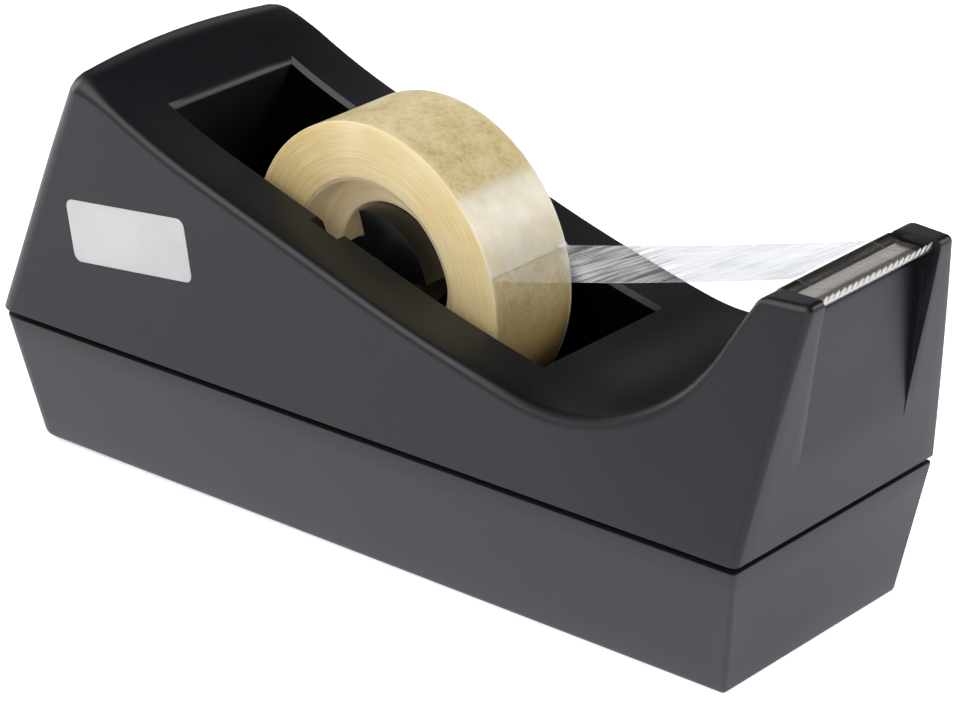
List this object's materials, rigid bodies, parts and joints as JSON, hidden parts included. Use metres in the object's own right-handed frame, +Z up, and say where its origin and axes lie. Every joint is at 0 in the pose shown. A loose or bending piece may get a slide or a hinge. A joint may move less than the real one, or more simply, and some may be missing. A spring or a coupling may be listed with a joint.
{
  "type": "desktop tape dispenser",
  "caption": "Weighted desktop tape dispenser: tall rear, open roll well, saddle and a raised front end with a toothed steel blade, loaded with a roll of clear tape.",
  "frame": {"origin": "on the desk, under the middle of the dispenser's bounding box", "axes": "+X from the tall rear end to the blade, +Y to the left side seen from behind, +Z up"},
  "size_m": [0.1826, 0.052, 0.0764],
  "materials": {
    "housing_plastic": "fine-grained charcoal",
    "base_plastic": "fine-grained charcoal",
    "ballast": "as cast",
    "screw_steel": "plated",
    "foot_rubber": "dull black",
    "blade_steel": "plain sheet",
    "label": "blank light grey print",
    "pin_steel": "drawn",
    "tape_film": "clear film",
    "hub_plastic": "black moulding",
    "core": "tan board",
    "wound_tape": "amber clear tape"
  },
  "bodies": {
    "stand": {"upper_housing": "housing_plastic", "base_tray": "base_plastic", "ballast_block": "ballast", "base_screws": "screw_steel", "foot_front_left": "foot_rubber", "foot_front_right": "foot_rubber", "foot_rear_left": "foot_rubber", "foot_rear_right": "foot_rubber", "cutter_blade": "blade_steel", "side_label": "label"},
    "axle": {"axle_pin": "pin_steel", "tape_lead": "tape_film"},
    "roll": {"hub_spool": "hub_plastic", "tape_core": "core", "tape_roll": "wound_tape"}
  },
  "joints": [
    {"name": "roll_lift", "type": "slide", "parent": "stand", "child": "axle", "axis": [-0.4067, 0, 0.9135], "range_m": [0, 0.06]},
    {"name": "roll_spin", "type": "hinge", "parent": "axle", "child": "roll", "pos_m": [-0.0086, 0, 0.0466], "axis": [0, 1, 0], "continuous": true}
  ]
}
